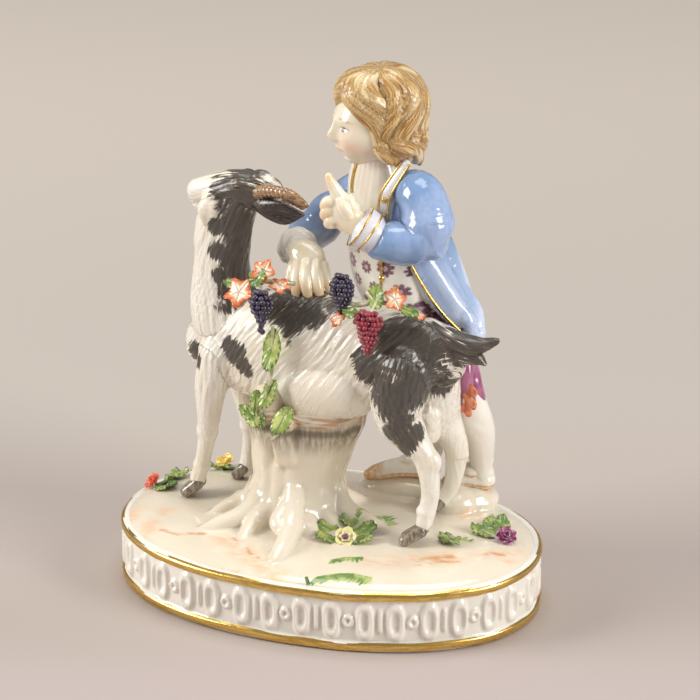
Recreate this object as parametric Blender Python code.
"""Porcelain figurine: a boy leaning over a goat that stands across a tree stump, on an oval plinth.

The real object is one fired piece. Its forms are pressed or cast in moulds, luted together with slip,
set with hand-made leaves, grapes and blossoms, and fired as one body, so this is one solid: soft clay
forms fused together, with the crisp plinth, frieze, fruit and leaves joined on.
"""

import math

import bmesh
import bpy
from mathutils import Euler, Matrix, Vector
from mathutils.bvhtree import BVHTree

# Driving dimensions, in millimetres
MM = 0.001
BASE_LENGTH = 120.0
BASE_WIDTH = 77.2
OVAL_POWER = 2.17  # 2 is an ellipse, more is squarer
FOOT_HEIGHT = 0.7
GILT_HEIGHT = 2.0
FRIEZE_HEIGHT = 12.8
RIM_HEIGHT = 2.2
FRIEZE_RECESS = 0.9
MOUND_RISE = 3.0
MOUND_MARGIN = 2.2
VENT_RADIUS = 3.0
VENT_DEPTH = 10.0
VENT_PLACE = (22.0, 6.0)

# The frieze: bar, tall ring, small ring, tall ring, and so on round the plinth
FRIEZE_UNITS = 18
RELIEF = 0.75
TALL_RING = (2.3, 4.3, 1.1)  # half width, half height, width of the raised band
SMALL_RING = (1.7, 1.8, 0.9)
BAR = (0.55, 2.2)
TALL_RING_PLACE = 0.27  # from the middle of a unit, as a share of its length
BURIED = 0.6  # how far applied trim is pressed into the body that carries it

# The figures, above the ground they stand on
GOAT_HEIGHT = 95.0  # to the top of the horns
BOY_HEIGHT = 126.0  # to the top of the hair
STUMP_HEIGHT = 31.0
STUMP_RADIUS = 11.6
HEAD_AT = (4.4, 19.6, 110.0)  # the middle of the boy's skull, with the boy at full height
HEAD_YAW = -140.0  # the way the face looks, in degrees from the X axis
GRAPE_RADIUS = 1.45
LEAF_THICKNESS = 1.1
BLOSSOM_RADIUS = 2.9

# The clay forms are fused at this fineness, then thinned to a fair number of facets
CLAY_GRAIN = 0.75
CLAY_FACETS = 3550
OVAL_STEPS = 48
SIDES = 14

PLINTH_HEIGHT = FOOT_HEIGHT + GILT_HEIGHT + FRIEZE_HEIGHT + RIM_HEIGHT
GROUND = PLINTH_HEIGHT + MOUND_RISE
X_AXIS, Y_AXIS, Z_AXIS = Vector((1, 0, 0)), Vector((0, 1, 0)), Vector((0, 0, 1))

for old in list(bpy.data.objects):
    bpy.data.objects.remove(old)


def glaze(name, colour, roughness=0.12, metallic=0.0):
    """A glazed or gilt surface as a Principled material."""
    material = bpy.data.materials.new(name)
    material.use_nodes = True
    shader = material.node_tree.nodes["Principled BSDF"]
    shader.inputs["Base Color"].default_value = (*colour, 1.0)
    shader.inputs["Roughness"].default_value = roughness
    shader.inputs["Metallic"].default_value = metallic
    return material


PORCELAIN = glaze("glazed_porcelain", (0.86, 0.83, 0.77))


# Points on the oval: an angle, or a length along its wall from the left-hand end


def oval_point(angle, inset=0.0):
    """A point of the plinth's oval outline, moved in by inset."""
    half_length, half_width = BASE_LENGTH / 2 - inset, BASE_WIDTH / 2 - inset
    power = 2 / OVAL_POWER
    x = math.copysign(abs(math.cos(angle)) ** power, math.cos(angle))
    y = math.copysign(abs(math.sin(angle)) ** power, math.sin(angle))
    return Vector((half_length * x, half_width * y))


def wall_table(steps=2880):
    """Angles and running lengths round the oval, from its left-hand end by the front."""
    angles = [-math.pi + 2 * math.pi * i / steps for i in range(steps + 1)]
    lengths = [0.0]
    for before, after in zip(angles, angles[1:]):
        lengths.append(lengths[-1] + (oval_point(after) - oval_point(before)).length)
    return angles, lengths


WALL_ANGLES, WALL_LENGTHS = wall_table()
PERIMETER = WALL_LENGTHS[-1]


def wall_point(along, height, out):
    """The point of the plinth's wall at a length along it, a height, and a distance out of the frieze."""
    along %= PERIMETER
    low, high = 0, len(WALL_LENGTHS) - 1
    while high - low > 1:
        middle = (low + high) // 2
        if WALL_LENGTHS[middle] > along:
            high = middle
        else:
            low = middle
    here, there = oval_point(WALL_ANGLES[low]), oval_point(WALL_ANGLES[high])
    share = (along - WALL_LENGTHS[low]) / (WALL_LENGTHS[high] - WALL_LENGTHS[low])
    direction = (there - here).normalized()
    normal = Vector((direction.y, -direction.x))
    spot = here.lerp(there, share) + normal * (out - FRIEZE_RECESS)
    return Vector((spot.x, spot.y, height))


# Closed shapes, each added to a bmesh in millimetres


def smoothed(stations, steps):
    """Catmull-Rom points through stations, which are tuples of numbers."""
    rows = [Vector(s) for s in stations]
    rows = [rows[0] * 2 - rows[1], *rows, rows[-1] * 2 - rows[-2]]
    found = []
    for a, b, c, d in zip(rows, rows[1:], rows[2:], rows[3:]):
        for i in range(steps):
            t = i / steps
            curve = (2 * a - 5 * b + 4 * c - d) * t**2 + (3 * b - a - 3 * c + d) * t**3
            found.append((2 * b + (c - a) * t + curve) / 2)
    return [*found, rows[-2]]


def skin(shape, rings, start=None, end=None):
    """Joins rings of points into a closed surface, with a pole or a flat cap at each end."""
    made = [[shape.verts.new(p) for p in ring] for ring in rings]
    count = len(rings[0])
    for lower, upper in zip(made, made[1:]):
        for i in range(count):
            j = (i + 1) % count
            shape.faces.new((lower[i], lower[j], upper[j], upper[i]))
    for pole, ring, turned in ((start, made[0], True), (end, made[-1], False)):
        if pole is None:
            shape.faces.new(reversed(ring) if turned else ring)
            continue
        tip = shape.verts.new(pole)
        for i in range(count):
            j = (i + 1) % count
            pair = (ring[j], ring[i]) if turned else (ring[i], ring[j])
            shape.faces.new((*pair, tip))


def limb(shape, stations, side=Y_AXIS, sides=SIDES, steps=3):
    """A tapered, rounded form through stations of (x, y, z, half width[, half depth]).

    The half width is measured along side, the half depth square to side and to the form.
    """
    full = [(*s, s[3]) if len(s) == 4 else s for s in stations]
    rows = smoothed(full, steps)
    centres = [Vector(r[:3]) for r in rows]
    sizes = [(max(r[3], 0.15), max(r[4], 0.15)) for r in rows]
    rings = []
    for i, (centre, (wide, deep)) in enumerate(zip(centres, sizes)):
        along = (centres[min(i + 1, len(rows) - 1)] - centres[max(i - 1, 0)]).normalized()
        across = (Vector(side) - along * along.dot(Vector(side))).normalized()
        rings.append((centre, along, across, along.cross(across), wide, deep))

    def loop(ring, shrink=1.0, push=0.0):
        centre, along, across, square, wide, deep = ring
        turn = [2 * math.pi * k / sides for k in range(sides)]
        middle = centre + along * push
        across, square = across * wide * shrink, square * deep * shrink
        return [middle + across * math.cos(a) + square * math.sin(a) for a in turn]

    start, end = rings[0], rings[-1]
    start_round, end_round = min(start[4:]), min(end[4:])
    loops = [loop(start, math.cos(a), -start_round * math.sin(a)) for a in (1.2, 0.8, 0.4)]
    loops += [loop(r) for r in rings]
    loops += [loop(end, math.cos(a), end_round * math.sin(a)) for a in (0.4, 0.8, 1.2)]
    skin(shape, loops, start[0] - start[1] * start_round, end[0] + end[1] * end_round)


def ball(shape, x, y, z, wide, deep=None, tall=None, turn=(0, 0, 0), fineness=2):
    """An ellipsoid with half sizes along x, y and z, turned by Euler degrees."""
    sizes = (wide, deep or wide, tall or deep or wide)
    place = Matrix.Translation((x, y, z)) @ Euler([math.radians(a) for a in turn]).to_matrix().to_4x4()
    place @= Matrix.Diagonal((*sizes, 1))
    bmesh.ops.create_icosphere(shape, subdivisions=fineness, radius=1.0, matrix=place)


def finished(name, shape, material=PORCELAIN, helper=True):
    """Turns a bmesh in millimetres into an object in metres."""
    bmesh.ops.scale(shape, vec=(MM, MM, MM), verts=shape.verts)
    bmesh.ops.recalc_face_normals(shape, faces=shape.faces)
    mesh = bpy.data.meshes.new(name)
    shape.to_mesh(mesh)
    shape.free()
    mesh.materials.append(material)
    made = bpy.data.objects.new(name, mesh)
    bpy.context.scene.collection.objects.link(made)
    if helper:
        made.hide_render = True
        made.display_type = "WIRE"
    return made


# The plinth and its frieze


def plinth():
    """The oval block: unglazed foot, gilt bands, recessed frieze, and ground that rises inside the rim."""
    foot, gilt = FOOT_HEIGHT, FOOT_HEIGHT + GILT_HEIGHT
    frieze, rim = gilt + FRIEZE_HEIGHT, PLINTH_HEIGHT
    recess = FRIEZE_RECESS
    profile = [
        (1.0, 0.0),
        (0.05, foot + GILT_HEIGHT * 0.3),
        (0.0, foot + GILT_HEIGHT * 0.7),
        (0.3, gilt),
        (recess, gilt + 0.7),
        (recess, frieze - 0.7),
        (0.3, frieze),
        (-0.1, frieze + RIM_HEIGHT * 0.4),
        (0.3, rim - RIM_HEIGHT * 0.15),
        (MOUND_MARGIN, rim + 0.3),
        (MOUND_MARGIN + 4.5, rim + MOUND_RISE * 0.62),
        (MOUND_MARGIN + 13.0, GROUND - 0.3),
    ]
    angles = [2 * math.pi * i / OVAL_STEPS for i in range(OVAL_STEPS)]
    shape = bmesh.new()
    rings = [[Vector((*oval_point(a, inset), z)) for a in angles] for inset, z in profile]
    skin(shape, rings, None, Vector((0, 0, GROUND)))
    return finished("plinth", shape, helper=False)


def wall_ring(shape, centre, half_wide, half_high, band, steps):
    """A raised oval band on the frieze wall, in section a low wedge, its foot buried in the wall."""
    middle = FOOT_HEIGHT + GILT_HEIGHT + FRIEZE_HEIGHT / 2
    section = ((0.0, -BURIED), (0.5, RELIEF), (1.0, -BURIED))
    rings = []
    for i in range(steps):
        angle = 2 * math.pi * i / steps
        ring = []
        for share, out in section:
            inward = band * share
            along = centre + (half_wide - inward) * math.cos(angle)
            height = middle + (half_high - inward) * math.sin(angle)
            ring.append(shape.verts.new(wall_point(along, height, out)))
        rings.append(ring)
    for this, following in zip(rings, rings[1:] + rings[:1]):
        for i in range(len(section)):
            j = (i + 1) % len(section)
            shape.faces.new((this[i], this[j], following[j], following[i]))


def wall_bar(shape, centre):
    """The short upright bar between two units of the frieze."""
    middle = FOOT_HEIGHT + GILT_HEIGHT + FRIEZE_HEIGHT / 2
    half_wide, half_high = BAR
    corners = [(x * half_wide, z * half_high) for x, z in ((-1, -1), (1, -1), (1, 1), (-1, 1))]
    rings = []
    for out in (-BURIED, RELIEF * 0.8):
        rings.append([wall_point(centre + x, middle + z, out) for x, z in corners])
    skin(shape, rings)


def frieze(start=0.0):
    """Tall rings with bars between them, and the small rings that link the tall rings in pairs."""
    tall, small = bmesh.new(), bmesh.new()
    unit = PERIMETER / FRIEZE_UNITS
    for i in range(FRIEZE_UNITS):
        bar_at = start + i * unit
        wall_bar(tall, bar_at)
        for side in (-1, 1):
            wall_ring(tall, bar_at + unit * (0.5 + side * TALL_RING_PLACE), *TALL_RING, 8)
        wall_ring(small, bar_at + unit / 2, *SMALL_RING, 6)
    return [finished("frieze_tall_rings", tall), finished("frieze_small_rings", small)]


# The clay forms. Heights are above the ground; sizes are those of the stated heights


def raised(rows, height, stated, pivot=(0.0, 0.0)):
    """Scales a table of stations about a spot on the ground and stands it on the ground."""
    scale = height / stated
    found = []
    for x, y, z, *sizes in rows:
        place = (pivot[0] + (x - pivot[0]) * scale, pivot[1] + (y - pivot[1]) * scale, GROUND + z * scale)
        found.append((*place, *[size * scale for size in sizes]))
    return found


def goat(shape):
    """The goat: barrel, neck, head thrown up and back, ears, horns, legs, hooves and tufted tail."""

    def part(rows, **options):
        limb(shape, raised(rows, GOAT_HEIGHT, 95.0), **options)

    part([
        (33, 3, 48, 4, 6), (29, 3, 50.5, 8, 10.5), (19, 4, 49.5, 10.5, 13), (2.5, 6, 47.5, 12.5, 16.5),
        (-14, 7, 47, 12.5, 16.5), (-30, 9, 45, 10.5, 14), (-39, 9, 44, 6, 8),
    ])
    part([
        (-29, 9, 44, 9, 11), (-33.5, 9, 55, 8.5, 10), (-34.4, 9, 68.5, 6.6, 7.8), (-33.4, 9, 80, 6.2, 8),
        (-29.5, 9, 88, 5, 6.4),
    ], side=Y_AXIS)
    part([(-21, 9, 90.5, 5, 4.6), (-29, 9, 91, 5.6, 5.2), (-36, 9, 90, 4.2, 4.4), (-41, 9, 88.8, 3.2, 3.6)])
    part([(-30, 9, 84, 4.4), (-36.5, 9, 85.5, 3.4), (-40.5, 9, 85.8, 2.4)])
    part([(-36, 4.5, 88.5, 2.2), (-36.8, 3.4, 86, 2.3), (-36.5, 4, 82.5, 1.6)])
    part([
        (-22, 6, 91.6, 2.6), (-19, 5, 93, 2.2), (-13, 4.2, 93, 1.9), (-9.7, 4, 91.4, 1.4),
        (-7.9, 4, 90.2, 1.0),
    ])
    part([(-22, 12, 89.6, 2.2), (-17, 11, 89.6, 1.8), (-13, 9.6, 89, 1.5), (-10.6, 8.6, 88, 1.0)])
    part([
        (-23, 6, 88.6, 1.6), (-19, 3.5, 88.2, 2.8, 1.5), (-13.5, 2.2, 87.9, 3.3, 1.4), (-8.6, 2, 88.3, 1.0),
    ], side=Z_AXIS)
    part([(-27, 12, 88.6, 1.6), (-30, 16, 88, 2.4, 1.4), (-32, 20, 86, 1.0)], side=Z_AXIS)
    part([(-33, 3, 44, 6.2), (-35.5, 2, 34, 4.6), (-36.6, 2, 21, 2.9), (-38.2, 2, 12, 2.2), (-40, 2, 5, 2.3)])
    part([(-39.8, 2, 4, 2.4), (-43.4, 1.6, 1.4, 2.8, 2.0)])
    part([
        (-30, 13, 42, 6), (-31, 15, 30, 3.8), (-29.4, 16, 17.5, 2.5), (-30, 17, 9, 2.1), (-31, 17, 1.6, 2.6),
    ])
    part([
        (22, -1, 49, 8.5), (21, -4.4, 37, 7), (25.5, -5, 29.5, 4.6), (29.2, -5.2, 24.5, 3.4),
        (31, -6, 15, 2.6), (29.6, -7, 6, 2.4),
    ])
    part([(29, -7.2, 4, 2.4), (24.6, -8.6, 1.2, 2.8, 2.0)])
    part([
        (26, 9, 46, 8), (27.5, 12, 31, 6.4), (31, 13, 24, 4.2), (32.6, 13, 19, 3.3), (31.4, 13, 9, 2.4),
        (28.5, 12.4, 4, 2.4), (26, 12, 1.6, 2.7, 2.0),
    ])
    part([(27.2, 5, 33, 3.2), (27.2, 5, 27.5, 3.2)])
    part([
        (27, 4, 58, 4), (35, 2, 57, 3.6, 3.2), (41, 1, 57, 2.8, 2.6), (44.6, 1, 58, 1.7), (47, 1, 59.2, 1.0),
    ])
    part([(31, 2, 54.5, 3), (37.5, 1.4, 54, 2.8), (42, 1, 53.2, 1.8), (43.6, 1, 52.2, 1.0)])


def stump(shape):
    """The tree stump under the belly, with its spreading roots and the stubs of two branches."""
    tall = STUMP_HEIGHT
    wide = STUMP_RADIUS

    def part(rows):
        limb(shape, raised(rows, tall, 31.0, (-6.0, 4.0)))

    limb(shape, [
        (-2.5, 4, GROUND + tall, wide), (-5.6, 4, GROUND + tall * 0.75, wide),
        (-9.4, 4, GROUND + tall * 0.45, wide * 1.06), (-10.8, 4, GROUND + tall * 0.2, wide * 1.22),
        (-11.2, 4, GROUND - 1, wide * 1.5),
    ], side=X_AXIS)
    part([(-15, 1, 8, 7), (-17, -1, 24, 5.6), (-17.4, -3, 31, 5), (-16, -3, 36, 4.4)])
    part([(-10, -6, 20, 3.6), (-11.5, -7.6, 28, 3.2), (-10, -8, 33, 2.6)])
    for angle, reach, thick in (
        (188, 21, 3.6), (206, 26, 3.2), (223, 31, 3.2), (247, 25, 3.4), (275, 33, 3.4), (298, 19, 3.4),
        (328, 18, 3.2), (354, 23, 3.2), (40, 18, 3.0), (75, 16, 3.0), (110, 17, 3.2), (150, 19, 3.2),
    ):
        x, y = math.cos(math.radians(angle)), math.sin(math.radians(angle))
        part([
            (-9 + x * wide * 0.6, 4 + y * wide * 0.6, 12, thick),
            (-9 + x * reach * 0.62, 4 + y * reach * 0.62, 2.8, thick),
            (-9 + x * reach * 0.85, 4 + y * reach * 0.85, 0.6, thick * 0.8),
            (-9 + x * reach, 4 + y * reach, -1.2, thick * 0.6),
        ])


def head(part):
    """The boy's head: an egg-shaped skull with chin and nose, and thick wavy locks from the crown."""
    x, y, z = HEAD_AT
    look = math.radians(HEAD_YAW)
    ahead = Vector((math.cos(look), math.sin(look), 0))
    beside = Vector((-ahead.y, ahead.x, 0))

    def place(forward, sideways, up, back=0.0):
        spot = Vector((x, y, z)) + ahead * (forward - back) + beside * sideways
        return (spot.x, spot.y, spot.z + up)

    def around(turn, reach, up):
        return place(math.cos(turn) * reach * 1.04, math.sin(turn) * reach * 0.84, up, back=1.6)

    part([
        (*place(0.3, 0, -5.4), 7.2, 8.0), (*place(0, 0, -1), 9.6, 10.4), (*place(-0.4, 0, 3), 9.4, 10.4),
    ], side=beside)
    part([(*place(6.2, 0, -10), 2.8), (*place(6.0, 0, -7), 4.4)], side=beside)
    part([(*place(10.0, 0, 0.6), 0.9), (*place(11.2, 0, -2.6), 1.5)], side=beside)
    part([(*place(-1.4, 0, 3.4), 10.4, 11.0), (*place(-2.2, 0, 6.6), 9.0, 9.8)], side=beside)
    part([(*place(-5.4, 0, -6), 7.6, 7.4), (*place(-3.6, 0, 2), 9.6, 9.0)], side=beside)
    lengths = (1.0, 1.08, 0.96, 1.06, 0.98, 1.06, 0.92)
    for degrees, length in zip(range(92, 300, 32), lengths):
        turn = math.radians(degrees)
        part([
            (*around(turn, 4.0, 15.0), 2.4), (*around(turn, 9.4, 9.4), 3.5),
            (*around(turn + 0.06, 10.8, 3.6), 3.4), (*around(turn - 0.14, 9.8, -1.6), 3.3),
            (*around(turn - 0.10, 10.2, -6.0 * length), 3.1),
            (*around(turn + 0.10, 11.2, -9.4 * length), 2.3),
            (*around(turn + 0.24, 12.2, -11.2 * length), 1.0),
        ])
    for way, drops in ((1, (0.42, 0.85)), (-1, (-0.30, -0.62))):
        for degrees in (14, 34, 56):
            turn = math.radians(degrees) * way
            part([
                (*around(math.radians(120), 2.0, 15.4), 2.4), (*around(turn * 0.7, 6.2, 13.6), 2.8),
                (*around(turn * 0.95, 9.6, 9.8), 2.7), (*around(turn + drops[0], 10.2, 5.2), 2.4),
                (*around(turn + drops[1], 10.6, 0.4), 1.3),
            ])


def boy(shape):
    """The boy: head and long hair, open coat, shirt and waistcoat, breeches, stockings and buckled shoes."""
    shoulders = Vector((0.85, -0.53, 0))

    def part(rows, **options):
        limb(shape, raised(rows, BOY_HEIGHT, 126.0, (20.0, 20.0)), **options)

    part([
        (26, 21, 47, 8.5, 8), (23, 21, 54, 10, 8.6), (15.5, 20.5, 68, 12.6, 8), (11, 20.5, 80, 13, 9),
        (9.5, 20.5, 88.5, 12.4, 7.6), (9, 20.8, 95, 5.6, 5),
    ], side=shoulders)
    part([(9.5, 20.8, 90, 5.4), (6.6, 20.2, 99, 5.0)])
    head(part)
    part([(20.5, 14, 93, 6.6), (24.6, 11, 89, 6.8), (24, 9, 81, 6)])
    part([(24, 8.4, 81.4, 5.8), (17, 6.6, 81.6, 5.6), (9.6, 6, 83.6, 5.4)])
    part([(8, 6, 84, 3.4), (4, 6, 87, 3.3), (0.6, 6, 90.4, 3.9)])
    part([(1.0, 5.6, 93, 1.9), (-0.8, 5.6, 96, 1.6), (-2.4, 5.6, 98.8, 1.2)])
    part([(-1.5, 4.4, 91, 2.3), (-3.2, 4.4, 88.4, 2.0), (-1, 4.6, 86.2, 1.9)])
    part([(0, 26, 87, 6.4), (-8, 28, 80, 5.8), (-15.5, 26, 72, 5.6)])
    part([(-15.5, 25, 71.5, 5), (-16.4, 19, 68.4, 5.6, 5.2), (-12, 15, 69.4, 4)])
    part([
        (-12, 15, 69.4, 3.6), (-8, 11, 67.5, 4.4, 3.4), (-6.6, 8.6, 63, 4.2, 2.6), (-6.2, 7.6, 60, 3.4, 2),
    ], side=X_AXIS)
    part([(17.6, 18, 88, 9, 7), (20.5, 18.5, 74, 9, 6), (29, 18.5, 61.5, 8, 5), (36, 17.5, 55, 5, 3)])
    part([
        (9, 19, 80, 10, 7), (6.6, 18.6, 68, 12, 6.4), (8, 18.4, 57, 11, 6), (9, 18, 50, 8, 5),
    ], side=shoulders)
    part([(16, 26, 86, 8, 6), (23, 28, 70, 8, 6), (29, 28, 58, 7, 4.6), (32, 27.6, 53.5, 4, 2.6)])
    part([
        (27, 21, 50, 7.4), (31, 21, 40, 6.2), (33, 21, 33, 4.8), (35.6, 22.6, 22, 5.2),
        (36.6, 24, 12, 3.5), (37, 24, 8, 3.4),
    ])
    part([(37.6, 24, 6.6, 3.2, 3), (33, 23, 7, 3, 2.8), (29, 22, 6, 2.6, 2)])
    part([(21, 25, 48, 7), (23, 28, 34, 5.6), (23, 28, 27, 4.6), (21.8, 28, 18, 4.6), (19.4, 27.4, 9, 3.3)])
    part([(20, 27.4, 6.4, 3.2), (12, 25.5, 5.8, 3.2, 3), (4, 24.4, 3.4, 2.5, 2)])
    part([(33, 20, 36, 2.4), (35, 17.4, 33, 2.2), (36, 16.6, 29, 1.6)])
    rocks = [(35, 23.5, 0.5, 10, 8, 4.6), (15, 26, -0.4, 15, 7, 4), (30, 19, 1, 8, 7, 5)]
    for rock in raised(rocks, BOY_HEIGHT, 126.0, (20.0, 20.0)):
        ball(shape, *rock)


def on_skin(skins, point, heading, lean=0.0, sink=0.3):
    """A frame pressed onto the nearest clay: z outward, x along the heading, leaned up in degrees."""
    hits = [tree.find_nearest(Vector(point) * MM) for tree in skins]
    spot, normal, _, _ = min(hits, key=lambda hit: hit[3])
    spot = spot / MM - normal * sink
    along = (Vector(heading) - normal * normal.dot(Vector(heading))).normalized()
    across = normal.cross(along)
    frame = Matrix((along, across, normal)).transposed().to_4x4()
    frame.translation = spot
    return frame @ Matrix.Rotation(math.radians(-lean), 4, "Y")


def leaf(shape, frame, length, width):
    """A small pointed, lobed leaf: a thin lens whose thick middle is pressed into the clay."""
    side = [(-0.45, 0.0), (-0.22, 0.42), (-0.02, 0.34), (0.22, 0.4), (0.55, 0.0)]
    edge = side + [(x, -y) for x, y in reversed(side[1:-1])]
    half = LEAF_THICKNESS / 2
    rim = [shape.verts.new(frame @ Vector((x * length, y * width, 0))) for x, y in edge]
    top = shape.verts.new(frame @ Vector((0, 0, half * 1.5)))
    below = shape.verts.new(frame @ Vector((0, 0, -half * 1.5)))
    for i in range(len(rim)):
        j = (i + 1) % len(rim)
        shape.faces.new((rim[i], rim[j], top))
        shape.faces.new((rim[j], rim[i], below))


def clay():
    """All soft forms, fused into one skin, smoothed and thinned."""
    shape = bmesh.new()
    stump(shape)
    goat(shape)
    boy(shape)
    lump = finished("clay", shape, helper=False)
    fuse = lump.modifiers.new("Fuse", "REMESH")
    fuse.mode = "VOXEL"
    fuse.voxel_size = CLAY_GRAIN * MM
    fuse.use_smooth_shade = False
    soften = lump.modifiers.new("Soften", "SMOOTH")
    soften.factor = 0.5
    soften.iterations = 3
    whole = kept(lump)
    thin = lump.modifiers.new("Thin", "DECIMATE")
    thin.ratio = min(1.0, CLAY_FACETS / whole)
    kept(lump)
    return lump


def kept(body):
    """Applies an object's modifiers, keeps its largest connected piece, and returns its triangle count."""
    graph = bpy.context.evaluated_depsgraph_get()
    graph.update()
    mesh = bpy.data.meshes.new_from_object(body.evaluated_get(graph))
    body.modifiers.clear()
    shape = bmesh.new()
    shape.from_mesh(mesh)
    bmesh.ops.triangulate(shape, faces=shape.faces)
    unseen, groups = set(shape.verts), []
    while unseen:
        queue = [unseen.pop()]
        group = set(queue)
        while queue:
            for edge in queue.pop().link_edges:
                for vert in edge.verts:
                    if vert in unseen:
                        unseen.remove(vert)
                        group.add(vert)
                        queue.append(vert)
        groups.append(group)
    largest = max(groups, key=len)
    bmesh.ops.delete(shape, geom=[v for v in shape.verts if v not in largest], context="VERTS")
    shape.to_mesh(mesh)
    count = len(shape.faces)
    shape.free()
    body.data = mesh
    return count


def joined(body, tools, operation="UNION"):
    """Adds or cuts each tool with an exact Boolean."""
    for tool in tools:
        step = body.modifiers.new(tool.name, "BOOLEAN")
        step.operation = operation
        step.solver = "EXACT"
        step.object = tool


def cluster(shape, skins, place, rows):
    """A bunch of grapes hanging against the clay, in rows that narrow to the bottom."""
    frame = on_skin(skins, place, Z_AXIS, sink=0.0)
    outward = frame.col[2].to_3d() * GRAPE_RADIUS
    middle = frame.translation + outward * 0.75
    pitch = GRAPE_RADIUS * 1.5
    tall = len(rows) * pitch
    core = middle - outward * 0.6 - Z_AXIS * (tall / 2 - GRAPE_RADIUS * 1.25)
    ball(shape, *core, GRAPE_RADIUS * 2.2, GRAPE_RADIUS * 2.2, tall / 2 + GRAPE_RADIUS * 0.55, fineness=2)
    for row, count in enumerate(rows):
        for i in range(count):
            across = (i - (count - 1) / 2) * pitch
            near = GRAPE_RADIUS * (0.75 - row * 0.17) - abs(across) * 0.35
            drop = row * pitch - GRAPE_RADIUS * 1.5
            ball(shape, *(middle + Vector((across, -near, -drop))), GRAPE_RADIUS, fineness=1)


def garland(fruit, leaves, skins):
    """Grape clusters, vine leaves and small leaves laid over the goat's back, flank and the stump."""
    scale = GOAT_HEIGHT / 95.0

    def spot(x, y, z):
        return Vector((x * scale, y * scale, GROUND + z * scale))

    for x, y, z, rows in (
        (-17.6, -7.5, 64.6, (3, 3, 2, 2, 1)),
        (4.4, -5.0, 66.5, (3, 4, 3, 2, 1)),
        (13.4, -8.5, 65.0, (3, 3, 3, 2, 2, 1)),
    ):
        cluster(fruit, skins, spot(x, y, z), rows)
    for x, y, z, heading, lean, length, width in (
        (-24, -3, 66, (-1, 0, -0.6), 22, 11, 9),
        (-19, 2, 70, (0.5, 0.3, 1), 55, 11, 9),
        (-12, 1, 69, (1, -0.3, 0.2), 32, 10, 8),
        (-20, -2, 68.5, (-0.2, -1, 0.6), 30, 8, 7),
        (17.6, -1, 69, (0.6, 0, 1), 48, 11, 9),
        (13, -2, 68, (-0.6, -0.6, 0.4), 36, 9, 8),
        (21.6, 0, 65, (1, 0, -0.3), 24, 9, 6),
        (6, -8, 63.6, (-0.3, 0, -1), 24, 8, 6.5),
        (-13, -9, 53.5, (0.1, 0, 1), 16, 12, 7),
        (-13.6, -9, 41.5, (0.5, 0, 1), 20, 10, 6),
    ):
        leaf(leaves, on_skin(skins, spot(x, y, z), heading, lean), length * scale, width * scale)


def ground_flowers(petals, leaves, skins):
    """Hand-made blossoms and leaves on the ground, and the small leaves on the branch stubs."""
    along, across = BASE_LENGTH / 120.0, BASE_WIDTH / 77.2
    for x, y, reach in ((-55.4, 7, 1.0), (-40.4, 24, 1.05), (8.4, -12.6, 1.0), (49.6, 2.6, 1.15)):
        frame = on_skin(skins, (x * along, y * across, GROUND), X_AXIS, sink=-0.2)
        blossom(petals, frame, BLOSSOM_RADIUS * reach)
    for x, y, heading, length, width in (
        (-50.4, 9, 25, 7, 5), (-51.5, 3.6, -45, 6, 5), (-53.5, 11.5, 100, 6, 4.6),
        (-36.2, 25, 10, 7, 4.6), (-41.6, 20, -120, 6, 4.6), (-38.4, 28, 70, 6, 4.6),
        (4.2, -11, 160, 7, 5), (12.6, -11, 25, 7, 5), (8.4, -8.2, 90, 6, 4.6),
        (44.6, 4.2, 165, 7.5, 4.8), (48.6, 7.6, 105, 7, 4.6), (35, -3, -30, 8, 5),
    ):
        turn = math.radians(heading)
        frame = on_skin(skins, (x * along, y * across, GROUND), (math.cos(turn), math.sin(turn), 0), 20)
        leaf(leaves, frame, length * along, width * along)
    stub = STUMP_HEIGHT / 31.0
    for x, y, z, heading, length, width in (
        (-20, -9, 36, (0.2, 0, 1), 9, 7), (-23, -6, 33.5, (-1, 0, 0.3), 8, 7),
        (-20, -9, 30, (-0.5, 0, -1), 8, 7), (-10, -11.5, 34, (0.4, 0, 1), 9, 6),
    ):
        leaf(leaves, on_skin(skins, (x, y, GROUND + z * stub), heading, 28), length * stub, width * stub)


def blossom(shape, frame, radius):
    """A five-petalled flower: a lobed dish, thick enough to stand in the ground, with a raised heart."""
    petals = 5
    steps = petals * 2
    rings = []
    for reach, height, lobes in ((0.5, -0.31, 0.0), (0.95, 0.1, 0.18), (0.9, 0.34, 0.18), (0.4, 0.24, 0.0)):
        ring = []
        for i in range(steps):
            angle = 2 * math.pi * i / steps
            out = radius * reach * (1 + lobes * math.cos(petals * angle))
            ring.append(frame @ Vector((out * math.cos(angle), out * math.sin(angle), radius * height)))
        rings.append(ring)
    skin(shape, rings, None, frame @ Vector((0, 0, radius * 0.55)))


def tree_of(made):
    """A search tree over an object's evaluated surface."""
    graph = bpy.context.evaluated_depsgraph_get()
    graph.update()
    shape = bmesh.new()
    shape.from_mesh(made.evaluated_get(graph).to_mesh())
    tree = BVHTree.FromBMesh(shape)
    shape.free()
    return tree


body = plinth()
body.name = "porcelain_figurine"
body.data.name = "porcelain_figurine"
figures = clay()
skins = [tree_of(figures), tree_of(body)]
figures.hide_render = True
figures.display_type = "WIRE"

fruit, leaves, petals = bmesh.new(), bmesh.new(), bmesh.new()
garland(fruit, leaves, skins)
ground_flowers(petals, leaves, skins)
vent = bmesh.new()
angles = [math.pi * i / 12 for i in range(24)]
rim = [Vector((VENT_RADIUS * math.cos(a), VENT_RADIUS * math.sin(a), 0)) for a in angles]
middle = Vector((*VENT_PLACE, 0))
skin(vent, [[middle + p + Z_AXIS * z for p in rim] for z in (-2, VENT_DEPTH)])

applied = [finished("leaves", leaves), finished("blossoms", petals), finished("grapes", fruit)]
joined(body, [*frieze(), figures, *applied])
for step in body.modifiers[-3:]:
    step.use_self = True
joined(body, [finished("vent", vent)], "DIFFERENCE")
